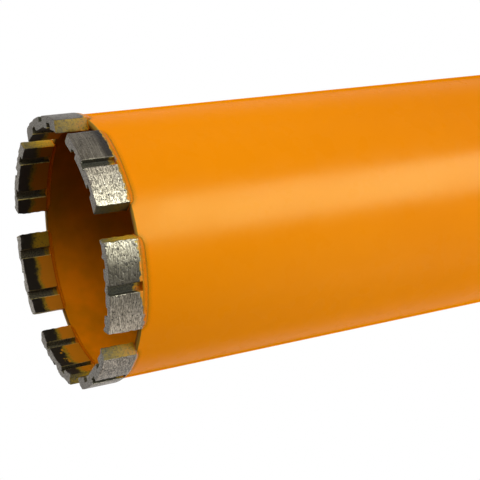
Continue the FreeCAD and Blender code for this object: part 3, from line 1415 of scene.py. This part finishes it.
@dataclass
class Segment:
    """One sintered cutting segment: a lattice of small blocks whose skin is worn, chipped and pitted.

    The heights of the stray paint and its flecks are millimetres above the segment's root. Where there
    are two, the paint fades out from the second to the first.
    """

    datum: Datum
    index: int
    look: SegmentLook
    groove_width: float = 2.5
    outer_groove_floor: float = 36.5
    inner_groove_floor: float = 36.2
    inner_groove_offset: float = 6.3
    spacing: float = 0.17
    wear_passes: int = 3
    front_wear: float = 0.11
    fine_wear: float = 0.035
    wear_reach: float = 2.2
    chip_depth: float = 0.58
    chip_reach: float = 0.42
    pit_count: int = 150
    pit_depth: float = 0.13
    pit_along: float = 12.0
    pit_height: float = 9.0
    pit_long: tuple[float, float] = (0.12, 0.34)
    pit_wide: tuple[float, float] = (0.1, 0.2)
    pit_share: tuple[float, float] = (0.4, 1.0)
    grit_margin: float = 0.3
    paint_on_inner: float = 4.3
    paint_on_ends: tuple[float, float] = (8.6, 1.0)
    paint_on_rest: tuple[float, float] = (2.6, 1.0)
    flecks_within: float = 3.5
    flecks_below: tuple[float, float] = (7.2, 6.6)
    near: float = 0.01
    sharp_angle: float = 48.0
    grain_seed: int = 40
    pit_seed: int = 900
    grit_seed: int = 11

    @property
    def grain(self) -> Grain:
        """Noise of this segment."""
        return Grain(self.grain_seed + self.index)

    def on_outer(self, skin: np.ndarray) -> np.ndarray:
        """Which lattice points lie on the outer face."""
        return skin[:, 1] > self.datum.crown_radius - self.near

    def on_inner(self, skin: np.ndarray) -> np.ndarray:
        """Which lattice points lie on the inner face."""
        return skin[:, 1] < self.datum.crown_inner_radius + self.near

    def on_front(self, skin: np.ndarray) -> np.ndarray:
        """Which lattice points lie on the cutting face."""
        return skin[:, 2] > self.datum.segment_top - self.near

    def on_first_end(self, skin: np.ndarray) -> np.ndarray:
        """Which lattice points lie on the first end or within 0.2 mm of it."""
        return skin[:, 0] < 0.2 - self.datum.segment_half

    def make(self, grit: Tree, metal: Material) -> None:
        """Build the segment, set grit into its cutting face and dress it.

        Args:
            grit: The scattered grit tree.
            metal: Sintered metal with its overspray.
        """
        skin, faces = self.lattice()
        places = self.bend(self.chipped(skin))
        places = self.worn(places, faces)
        places, pits = self.pitted(places, skin)
        turn = Matrix.Rotation(self.datum.turn_to(self.index), 3, "Z")
        places = places @ np.array(turn).T
        piece = mesh_object(f"cutter_{self.index + 1}", places, faces)
        point_values(piece, "pit", pits)
        point_values(piece, "up", skin[:, 2] - self.datum.segment_bottom)
        point_values(piece, "scorch", self.look.scorch * ease(0.5, 2.0, skin[:, 0]))
        for name, values in (
            ("front", self.on_front), ("outer", self.on_outer), ("inner", self.on_inner),
            ("coat", self.overspray), ("paint", self.paint_shade), ("gritty", self.grit_area),
            ("edge", self.groove_lip_highlights), ("tone", self.tone), ("speckle", self.speckle),
        ):
            point_values(piece, name, values(skin))
        grow(piece, grit, {
            "Density": 1.6e6, "Spacing": 0.00042, "Grain": 0.00019, "Sunk": 0.00018,
            "Seed": self.grit_seed + self.index, "Material": metal})
        sharpen(piece, self.sharp_angle)
        settle(piece, None, Slot.SINTER, f"segment_{self.index + 1}")

    def lattice(self) -> tuple[np.ndarray, np.ndarray]:
        """Skin of the block lattice.

        Returns:
            Points as distance along the tangent, radius and height, and faces turned outwards.
        """
        at = self.datum
        half, groove = at.segment_half, self.groove_width / 2
        offset = self.inner_groove_offset
        marks = [groove, offset - groove, offset + groove, half]
        along = self.spaced([-value for value in reversed(marks)] + marks)
        across = self.spaced([at.crown_inner_radius, self.inner_groove_floor,
                              self.outer_groove_floor, at.crown_radius])
        up = self.spaced([at.segment_bottom, at.segment_top])
        middle_u = (along[1:] + along[:-1]) / 2
        middle_r = (across[1:] + across[:-1]) / 2
        wide, deep = np.meshgrid(middle_u, middle_r, indexing="ij")
        outer = (np.abs(wide) < groove) & (deep > self.outer_groove_floor)
        inner = (np.abs(np.abs(wide) - offset) < groove) & (deep < self.inner_groove_floor)
        solid = np.repeat(~(outer | inner)[:, :, None], len(up) - 1, axis=2)
        faces = self.skin_faces(solid)
        used, flat = np.unique(faces, return_inverse=True)
        spots = np.stack(np.unravel_index(used, (len(along), len(across), len(up))), 1)
        skin = np.stack([along[spots[:, 0]], across[spots[:, 1]], up[spots[:, 2]]], 1)
        return skin, flat.reshape(faces.shape)

    @staticmethod
    def skin_faces(solid: np.ndarray) -> np.ndarray:
        """Faces between full and empty blocks, as numbers of the lattice's points, turned outwards.

        Args:
            solid: Which blocks are full, by their place on the three axes.

        Returns:
            Four point numbers for each face.
        """
        full = np.pad(solid, 1)
        counts = [count + 1 for count in solid.shape]
        numbers = np.arange(math.prod(counts)).reshape(counts)
        quads = []
        for axis in range(3):
            inside = tuple(slice(None) if n == axis else slice(1, -1) for n in range(3))
            change = np.diff(full.astype(int), axis=axis)[inside]
            second, third = (n for n in range(3) if n != axis)
            for sign in (1, -1):
                cells = np.argwhere(change == sign)
                ways = [(0, 0), (1, 0), (1, 1), (0, 1)]
                if (sign > 0) == (axis != 1):
                    ways.reverse()
                corners = []
                for step_b, step_c in ways:
                    spot = cells.copy()
                    spot[:, second] += step_b
                    spot[:, third] += step_c
                    corners.append(numbers[spot[:, 0], spot[:, 1], spot[:, 2]])
                quads.append(np.stack(corners, 1))
        return np.concatenate(quads)[:, ::-1]

    def spaced(self, marks: list[float]) -> np.ndarray:
        """Places from the first mark to the last, close to the lattice's spacing, one on each mark.

        Args:
            marks: Places in rising order that the lattice has to meet.

        Returns:
            The places.
        """
        runs = []
        for low, high in zip(marks, marks[1:]):
            count = max(1, round((high - low) / self.spacing))
            runs.append(np.linspace(low, high, count, endpoint=False))
        return np.concatenate([*runs, [marks[-1]]])

    def chipped(self, skin: np.ndarray) -> np.ndarray:
        """Lattice points after wear of the cutting face and chips along its edges.

        Args:
            skin: Lattice points as distance along the tangent, radius and height.

        Returns:
            The points after wear, in the same order.
        """
        at = self.datum
        moved = skin.copy()
        along, radius, height = skin.T
        flat = np.stack([along, radius, np.zeros_like(along)], 1)
        grain = self.grain
        worn = self.front_wear * (0.5 + grain.rough(flat, 2.6)) + self.fine_wear * (grain.at(flat, 0.45) + 1)
        worn = np.maximum(worn, 0)
        moved[:, 2] -= worn * ease(at.segment_top - self.wear_reach, at.segment_top, height)
        down = at.segment_top - height
        from_outer, from_inner = at.crown_radius - radius, radius - at.crown_inner_radius
        # Distance from the face beside the edge, how far a chip leans into that face, and its size
        for side, lean, size in ((from_outer, -0.75, 1.7), (from_inner, 0.9, 1.5)):
            bite = np.clip(grain.rough(skin + 7 * size, size) + 0.02, 0, 1) * self.chip_depth
            bite *= self.nearness(side, down)
            moved[:, 1] += lean * bite
            moved[:, 2] -= bite
        end = at.segment_half - np.abs(along)
        for other in (down, from_outer, from_inner):
            near = self.nearness(end, other)
            bite = np.clip(grain.rough(skin + 31, 1.3) + 0.2, 0, 1) * self.chip_depth * 0.6 * near
            moved[:, 0] -= np.sign(along) * bite
        rough = 0.05 * grain.rough(skin + 57, 1.1)
        moved[:, 0] -= np.sign(along) * (rough + 0.05) * ease(0.6, 0, end)
        late = np.clip(along / at.segment_half, 0, 1)
        depth = from_outer / (at.crown_radius - at.crown_inner_radius)
        moved[:, 0] += self.look.reach * late
        moved[:, 1] -= self.look.lean * late * depth
        return moved

    def nearness(self, first: np.ndarray, second: np.ndarray) -> np.ndarray:
        """How near each point is to an edge, from its distances to the two faces that meet there."""
        return np.exp(-(first**2 + second**2) / (2 * self.chip_reach**2))

    @staticmethod
    def bend(points: np.ndarray) -> np.ndarray:
        """Lattice points brought round the axis, with the segment's ends kept parallel."""
        along, radius, height = points.T
        return np.stack([np.sqrt(radius**2 - along**2), along, height], 1)

    def worn(self, places: np.ndarray, faces: np.ndarray) -> np.ndarray:
        """Points after a few passes that draw each one towards its neighbours and so round the edges.

        Args:
            places: Points round the axis.
            faces: Point numbers of each face.

        Returns:
            The points, in the same order.
        """
        pairs = np.concatenate([faces[:, [n, (n + 1) % 4]] for n in range(4)])
        near = np.bincount(pairs[:, 0], minlength=len(places))
        for _ in range(self.wear_passes):
            sums = [np.bincount(pairs[:, 0], places[pairs[:, 1], n], len(places)) for n in range(3)]
            places = places * 0.5 + 0.5 * np.stack(sums, 1) / near[:, None]
        return places

    def pitted(self, places: np.ndarray, skin: np.ndarray) -> tuple[np.ndarray, np.ndarray]:
        """Points after small pits are sunk into the outer ground face.

        Args:
            places: Points round the axis.
            skin: The same points of the lattice.

        Returns:
            The points, and how deep in a pit each one is from 0 to 1.
        """
        at = self.datum
        draw = np.random.default_rng(self.pit_seed + self.index)
        depth = np.zeros(len(skin))
        for _ in range(self.pit_count):
            along = draw.uniform(-self.pit_along, self.pit_along)
            height = at.segment_bottom + self.pit_height * draw.uniform() ** self.look.pit_spread
            long, wide = draw.uniform(*self.pit_long), draw.uniform(*self.pit_wide)
            gap = ((skin[:, 0] - along) / long) ** 2 + ((skin[:, 2] - height) / wide) ** 2
            depth = np.maximum(depth, np.exp(-gap) * draw.uniform(*self.pit_share))
        depth = np.where(self.on_outer(skin), depth, 0)
        moved = places.copy()
        shrink = 1 - self.pit_depth * depth / at.crown_radius
        moved[:, :2] *= shrink[:, None]
        return moved, depth

    def tone(self, skin: np.ndarray) -> np.ndarray:
        """How light the metal is at each lattice point, where 1 is as its finish has it, with painted
        highlight and painted shade in it.

        Args:
            skin: Lattice points as distance along the tangent, radius and height.

        Returns:
            One number for each lattice point.
        """
        look = self.look
        # The ground values paint the lamp's glint in as highlight, and the shade beside it.
        ground = self.along_face(skin, look.ground)
        # Painted shade: the outer groove's walls and floor at half.
        wall = (skin[:, 1] > self.outer_groove_floor - self.near) & (np.abs(skin[:, 0]) < self.groove_width)
        # Painted shade on the first end, by first_end_shade.
        end = np.where(self.on_first_end(skin), 0.5 + 0.5 * look.first_end_shade, 1.0)
        rest = np.where(self.on_front(skin), look.front, np.where(wall, 0.5, end))
        return np.where(self.on_outer(skin), ground, rest)

    def speckle(self, skin: np.ndarray) -> np.ndarray:
        """How strongly dark and light grains show at each lattice point of the outer face."""
        return np.where(self.on_outer(skin), self.along_face(skin, self.look.speckle), 0.0)

    @staticmethod
    def along_face(skin: np.ndarray, values: FourPlaces) -> np.ndarray:
        """Value at each lattice point, from the values at the ends and on both sides of the groove.

        Args:
            skin: Lattice points as distance along the tangent, radius and height.
            values: Values from the first end to the second.

        Returns:
            One number for each lattice point.
        """
        first, before, after, last = values
        return np.interp(skin[:, 0], GROUND_PLACES, (first, before, before, after, after, last))

    def paint_shade(self, skin: np.ndarray) -> np.ndarray:
        """How light the stray paint is: painted shade of its own on the inner face and on the first end.

        Args:
            skin: Lattice points as distance along the tangent, radius and height.

        Returns:
            One number for each lattice point.
        """
        inner = np.where(skin[:, 1] < self.inner_groove_floor - self.near, self.look.inner_shade, 1.0)
        return np.where(self.on_first_end(skin), self.look.first_end_shade, inner)

    def grit_area(self, skin: np.ndarray) -> np.ndarray:
        """1 on the cutting face away from its edges, where crystals can sit, and 0 elsewhere.

        Args:
            skin: Lattice points as distance along the tangent, radius and height.

        Returns:
            One number for each lattice point.
        """
        at, margin = self.datum, self.grit_margin
        along, radius, _ = skin.T
        inside = (radius < at.crown_radius - margin) & (radius > at.crown_inner_radius + margin)
        between = np.abs(along) < at.segment_half - margin
        return (inside & between & self.on_front(skin)).astype(float)

    def groove_lip_highlights(self, skin: np.ndarray) -> np.ndarray:
        """How much light colour the lips of the inner grooves take, most on the one towards the second end:
        partly wear, partly a painted highlight where that lip catches the light.

        Args:
            skin: Lattice points as distance along the tangent, radius and height.

        Returns:
            One number for each lattice point.
        """
        past = np.abs(np.abs(np.abs(skin[:, 0]) - self.inner_groove_offset) - self.groove_width / 2)
        second = np.abs(skin[:, 0]) - self.inner_groove_offset > 0
        second = np.where(skin[:, 0] < 0, ~second, second)
        lip = (past < 0.05) & (skin[:, 1] < self.datum.crown_inner_radius + 0.2)
        return np.where(lip, np.where(second, 1.0, 0.25), 0.0)

    def overspray(self, skin: np.ndarray) -> np.ndarray:
        """How thick the stray paint lies at each lattice point, from 0 to 1.

        Args:
            skin: Lattice points as distance along the tangent, radius and height.

        Returns:
            One number for each lattice point.
        """
        at = self.datum
        along, radius, height = skin.T
        up = height - at.segment_bottom
        wave = self.grain.rough(skin * (1.0, 1.0, 0.4) + 83, 4.0)
        fine = self.grain.rough(skin + 121, 0.9)
        end = np.abs(along) / at.segment_half
        bare = np.interp(along, BARE_PLACES, self.look.bare)
        root_line = 0.2 + 0.35 * end**8 + 0.3 * wave + 0.9 * fine - bare
        on_outer = ease(0.4, -0.25, up - root_line)
        wavy = self.paint_on_inner + 1.5 * wave + 0.5 * fine
        before_grooves = along < self.near - self.inner_groove_offset - self.groove_width / 2
        on_inner = ease(2.0, -1.5, up - wavy) * np.where(before_grooves, self.look.first_paint, 1.0)
        spots = (np.abs(along) < self.flecks_within) * ease(*self.flecks_below, up)
        spots = spots * ease(0.12, 0.3, self.grain.rough(skin + 57, 0.8))
        on_inner = np.maximum(on_inner, 0.95 * self.look.flecks * spots)
        thin = 0.22 * self.look.end_cover
        on_rest = thin + (0.58 - thin) * ease(*self.paint_on_ends, up + 0.9 * wave + 0.8 * fine) + 0.1 * fine
        in_outer_groove = radius > self.outer_groove_floor - self.near
        low = np.where(in_outer_groove, 0.5 + 0.3 * ease(0.3, -0.3, along), 0.3)
        on_groove = ease(*self.paint_on_rest, up + 0.4 * wave + 0.9 * fine) * low
        rest = np.where(end < 0.97, on_groove, on_rest)
        return np.where(self.on_outer(skin), on_outer, np.where(self.on_inner(skin), on_inner, rest))


@dataclass
class BrazeJoint:
    """Braze under one segment, with a rough painted bead along both sides of the tube."""

    datum: Datum
    index: int
    look: SegmentLook
    outer_run: float = 1.9
    inner_run: float = 1.2
    end_run: float = 2.6
    roughness: float = 0.085
    columns: int = 150
    face_steps: int = 12
    wall_cover: float = 0.12
    grain_seed: int = 300

    def make(self, material: Material) -> None:
        """Build the joint and dress it.

        Args:
            material: Paint over braze.
        """
        at = self.datum
        half = at.segment_half
        along = -half * np.cos(np.linspace(0, math.pi, self.columns))
        along = 0.5 * along + 0.5 * np.linspace(-half, half, self.columns)
        rows = [self.section(value) for value in along]
        run = along + self.look.reach * np.clip(along / half, 0, 1)
        count = len(rows[0])
        grid = np.array([[(np.sqrt(r * r - u * u), u, z) for r, z in row] for u, row in zip(run, rows)])
        places = grid.reshape(-1, 3)
        grain = Grain(self.grain_seed + self.index)
        outside = np.hypot(places[:, 0], places[:, 1])
        face = (outside > at.barrel_radius + 0.02) | (outside < at.barrel_bore_radius - 0.02)
        lumps = grain.rough(places, 1.9) * self.roughness * 0.7 + grain.at(places, 0.6) * self.roughness * 0.5
        sunk = np.minimum(lumps - self.roughness, -0.01)
        bare = self.bare(places, np.repeat(along, count), grain) * (face & (outside > at.barrel_radius))
        way = np.where(outside > at.barrel_radius, 1, -1) * np.where(face, sunk, 0)
        places[:, :2] *= (1 + way / outside)[:, None]
        turn = Matrix.Rotation(at.turn_to(self.index), 3, "Z")
        places = places @ np.array(turn).T
        faces = []
        for row in range(self.columns - 1):
            faces += band(row * count, (row + 1) * count, count)
        last = (self.columns - 1) * count
        faces.append(tuple(reversed(range(count))))
        faces.append(tuple(last + spot for spot in range(count)))
        piece = mesh_object(f"braze_bead_{self.index + 1}", places, faces)
        for name, shares in self.face_shares().items():
            point_values(piece, name, np.tile(np.array(shares), self.columns))
        point_values(piece, "bare", bare)
        turn_outwards(piece)
        settle(piece, material, Slot.BRAZE, f"braze_{self.index + 1}")

    def bare(self, places: np.ndarray, along: np.ndarray, grain: Grain) -> np.ndarray:
        """How bare of paint the bead is at each point, where the segment's grinding has run on over it.

        Args:
            places: Points of the joint, before it is turned to its segment.
            along: Distance of each one along the tangent.
            grain: Noise of this joint.

        Returns:
            A number from 0 to 1 for each point.
        """
        end = np.abs(along) / self.datum.segment_half
        shift = 0.35 * end**8 - np.interp(along, BARE_PLACES, self.look.bare)
        up = places[:, 2] - self.datum.segment_bottom
        return ease(-0.25, 0.4, up - 0.2 - shift + 0.9 * grain.rough(places + 31, 0.9))

    def section(self, along: float) -> list[tuple[float, float]]:
        """Closed profile of radius and height at one place along the tangent.

        Args:
            along: Distance from the segment's middle.

        Returns:
            Radius and height of each point.
        """
        at = self.datum
        half = at.segment_half
        swing = min(1.0, (half - abs(along)) / self.end_run)
        share = math.sqrt(max(0.0, 1 - (1 - swing) ** 2)) * 0.97 + 0.03
        top = at.segment_bottom
        run = self.outer_run * self.look.bead * share
        outer = self.bead(at.crown_radius - 0.02, at.barrel_radius - 0.06, run)
        inner = self.bead(at.crown_inner_radius + 0.02, at.barrel_bore_radius + 0.06, self.inner_run * share)
        under = at.barrel_top - self.wall_cover
        core = [(at.barrel_radius - 0.2, under), (at.barrel_bore_radius + 0.2, under)]
        close = [(at.crown_inner_radius + 0.1, top + 0.05), (at.crown_radius - 0.1, top + 0.05)]
        return outer + core + inner[::-1] + close

    def face_shares(self) -> dict[str, np.ndarray]:
        """How near each point of a section is to the bead's toe and root outside, and to its seam inside; the
        toe and the seam get painted shade.

        Returns:
            Numbers from 0 to 1 for the points of one section, by name.
        """
        part = np.linspace(0, 1, self.face_steps + 1)
        none, core = np.zeros(len(part)), np.zeros(2)
        return {
            "toe": np.concatenate((ease(0.45, 0.85, part), core, none, core)),
            "root": np.concatenate((0.9 * ease(0.4, 0.0, part), core, none, core)),
            "seam": np.concatenate((none, core, 0.9 * ease(0.35, 0.1, part)[::-1], core)),
        }

    def bead(self, top_radius: float, toe_radius: float, run: float) -> list[tuple[float, float]]:
        """Convex bead from the segment's root corner down to its toe on the wall.

        Args:
            top_radius: Radius at the segment's root.
            toe_radius: Radius at the wall.
            run: How far down the wall the toe lies below the root.

        Returns:
            Radius and height of each point, from the root down.
        """
        at = self.datum
        points = []
        for step in range(self.face_steps + 1):
            part = step / self.face_steps
            fall = (1 - part**2.2) ** 1.25
            radius = toe_radius + (top_radius - toe_radius) * fall
            points.append((radius, at.segment_bottom + 0.05 - (run + 0.2) * part))
        return points


@dataclass(frozen=True)
class Lamp:
    """Soft rectangular lamp that faces the axis.

    It stands at an angle about the axis from +X, in degrees. Its distance, its height, the height on the
    axis that it is aimed at, its width and its tallness are millimetres. A white face has a radiance of 1.
    """

    name: str
    degrees: float
    away: float
    height: float
    aim: float
    wide: float
    tall: float
    radiance: float
    gloss: Gloss
    tint: Colour = (1.0, 1.0, 1.0)

    def make(self) -> None:
        """Build the lamp."""
        data = bpy.data.lights.new(self.name, "AREA")
        data.shape = "RECTANGLE"
        data.size, data.size_y = self.wide * MM, self.tall * MM
        data.color = self.tint
        data.energy = self.radiance * math.pi * self.wide * self.tall * MM * MM
        lamp = placed(self.name, data)
        angle = math.radians(self.degrees)
        spot = Vector((self.away * math.cos(angle), self.away * math.sin(angle), self.height)) * MM
        aim = Vector((0, 0, self.aim * MM))
        turn = (spot - aim).to_track_quat("Z", "Y").to_matrix().to_4x4()
        lamp.matrix_world = Matrix.Translation(spot) @ turn
        lamp.visible_diffuse = self.gloss is not Gloss.ONLY
        lamp.visible_glossy = self.gloss is not Gloss.NONE
        lamp.visible_camera = False


STRIP_TINT = (0.90, 1.0, 0.90)
LAMPS = (
    Lamp("long_strip", degrees=-70.6, away=307, height=165, aim=165, wide=170, tall=320,
         radiance=27.0, gloss=Gloss.ONLY, tint=STRIP_TINT),
    Lamp("rear_strip", degrees=95, away=460, height=220, aim=220, wide=80, tall=380,
         radiance=9.0, gloss=Gloss.ONLY, tint=STRIP_TINT),
    Lamp("upper_fill", degrees=-33, away=500, height=500, aim=330, wide=420, tall=420,
         radiance=2.75, gloss=Gloss.NONE),
    Lamp("lower_fill", degrees=-130, away=440, height=0, aim=330, wide=420, tall=420,
         radiance=6.1, gloss=Gloss.NONE),
    Lamp("rear_fill", degrees=130, away=560, height=260, aim=330, wide=480, tall=480,
         radiance=3.0, gloss=Gloss.NONE),
)


@dataclass
class Studio:
    """Floor, world, lamps and the camera of the photograph.

    The camera's place and the floor's sizes are millimetres. The camera's clip and the distances from the
    axis between which the floor turns from its shadow to white are metres.
    """

    camera_place: Triple = (24.27, -301.9, 484.61)
    camera_right: Triple = (-0.11762, -0.46007, -0.88006)
    camera_down: Triple = (-0.98947, -0.02097, 0.14321)
    camera_forward: Triple = (-0.08434, 0.88764, -0.45276)
    lens: float = 85.38
    sensor: float = 36.0
    clip: tuple[float, float] = (0.01, 50.0)
    ambient: float = 0.34
    ambient_below: float = 0.12
    ambient_above: float = 2.0
    ambient_ahead: float = 0.25
    ambient_overhead: float = 1.0
    floor_rings: Triple = (150.0, 400.0, 4000.0)
    floor_spokes: int = 64
    floor_height: float = -0.02
    floor_colour: Colour = (0.82, 0.82, 0.82)
    shadow_reach: float = 0.03
    white_from: float = 0.24
    white_near: float = 0.4

    def make(self) -> None:
        """Build the whole studio."""
        bpy.context.scene.view_settings.view_transform = "Standard"
        self.world()
        self.floor()
        self.camera()
        for lamp in LAMPS:
            lamp.make()

    def world(self) -> None:
        """White to the camera and in reflections, and a plain level of light from all round."""
        world = bpy.data.worlds.new("studio")
        bpy.context.scene.world = world
        world.use_nodes = True
        world.node_tree.nodes.clear()
        wiring = Wiring(world.node_tree)
        seen = self.seen(wiring)
        way = wiring.parts(wiring.add("ShaderNodeTexCoord").outputs["Generated"])
        from_side = wiring.step(way[0], -1.0, 1.0, self.ambient_below, self.ambient_above)
        lift = wiring.step(way[0], -0.6, 0.6, self.ambient_ahead, self.ambient_overhead)
        ahead = wiring.blend(wiring.step(way[2], 0.1, 0.9), 1.0, lift)
        around = wiring.times(wiring.times(from_side, ahead), self.ambient)
        strength = wiring.blend(seen, around, 1.0)
        light = wiring.add("ShaderNodeBackground", {"Color": (1, 1, 1, 1), "Strength": strength})
        wiring.add("ShaderNodeOutputWorld", {0: light.outputs[0]})

    @staticmethod
    def seen(wiring: Wiring) -> Socket:
        """1 for camera, glossy and transmission rays and 0 for the rays that carry light.

        Args:
            wiring: Wiring of the world or of a material.

        Returns:
            1 or 0.
        """
        path = wiring.add("ShaderNodeLightPath").outputs
        direct = wiring.larger(path["Is Camera Ray"], path["Is Glossy Ray"])
        return wiring.larger(direct, path["Is Transmission Ray"])

    def floor(self) -> None:
        """Pale floor that keeps the shadow near the bit and turns to plain white further out."""
        spokes, height = self.floor_spokes, self.floor_height
        angles = [2 * math.pi * n / spokes for n in range(spokes)]
        points = [(0.0, 0.0, height)]
        for radius in self.floor_rings:
            points += [(radius * math.cos(angle), radius * math.sin(angle), height) for angle in angles]
        faces = [(0, 1 + n, 1 + (n + 1) % spokes) for n in range(spokes)]
        for ring in range(len(self.floor_rings) - 1):
            low, high = 1 + ring * spokes, 1 + (ring + 1) * spokes
            for n in range(spokes):
                beside = (n + 1) % spokes
                faces.append((low + n, high + n, high + beside, low + beside))
        piece = mesh_object("floor", np.array(points), faces)
        material = bpy.data.materials.new("pale_floor")
        material.use_nodes = True
        nodes = material.node_tree.nodes
        nodes.clear()
        wiring = Wiring(material.node_tree)
        plain = wiring.add("ShaderNodeBsdfDiffuse", {0: (*self.floor_colour, 1)})
        white = wiring.add("ShaderNodeEmission", {0: (1, 1, 1, 1), 1: 1.0})
        far = wiring.step(wiring.length(wiring.place()), self.shadow_reach, self.white_from, self.white_near)
        amount = wiring.times(self.seen(wiring), far)
        both = wiring.add("ShaderNodeMixShader", {0: amount, 1: plain.outputs[0], 2: white.outputs[0]})
        wiring.add("ShaderNodeOutputMaterial", {0: both.outputs[0]})
        piece.data.materials.append(material)

    def camera(self) -> None:
        """Camera of the photograph."""
        data = bpy.data.cameras.new("camera")
        data.sensor_width, data.lens = self.sensor, self.lens
        data.clip_start, data.clip_end = self.clip
        camera = placed("camera", data)
        ways = (self.camera_right, self.camera_down, self.camera_forward)
        right, down, forward = (Vector(way) for way in ways)
        turn = Matrix((right, -down, -forward)).transposed().to_4x4()
        camera.matrix_world = Matrix.Translation(Vector(self.camera_place) * MM) @ turn
        bpy.context.scene.camera = camera


def main() -> None:
    """Build the bit piece by piece round the frame."""
    logging.basicConfig(level=logging.INFO, format="%(name)s: %(message)s")
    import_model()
    datum = Datum()
    effects = Effects()
    Studio().make()
    paint = OrangePaint().build(effects)
    tube_paint = OrangePaint("tube_paint", rim_height=0.37785).build(effects)
    metal = SinteredMetal().build(effects)
    bead = BeadPaint("painted_braze").build(effects)
    welded = OrangePaint("painted_weld", peel_scale=1500.0, lump_scale=700.0, lump_height=0.00005)
    weld_paint = welded.build(effects)
    ring, grit = PathTrees.swept_ring(), PathTrees.scattered_grit()
    Barrel(datum).make(ring, tube_paint)
    EndPlate(datum).make(ring, paint)
    rim, seam, leg = datum.barrel_radius, datum.barrel_bottom, datum.plate_weld_leg
    WeldBead("plate_weld_bead", "plate_weld", root=(rim - leg, seam), first_toe=(rim, seam - leg),
             second_toe=(rim, seam + leg), crown=0.27, ripples=104, ripple_depth=0.16, facets=832,
             seed=3.0).make(ring, weld_paint)
    corner, foot, leg = datum.hub_radius, datum.plate_bottom, datum.hub_weld_leg
    WeldBead("hub_weld_bead", "hub_weld", root=(corner, foot), first_toe=(corner, foot - leg),
             second_toe=(corner + leg, foot), crown=0.5, ripples=58, ripple_depth=0.3, facets=696,
             seed=5.0).make(ring, weld_paint)
    Hub(datum).make(HubFinish().build(effects))
    for index in range(datum.segment_count):
        Segment(datum, index, SEGMENT_LOOKS[index]).make(grit, metal)
        BrazeJoint(datum, index, SEGMENT_LOOKS[index]).make(bead)


if __name__ == "__main__":
    main()
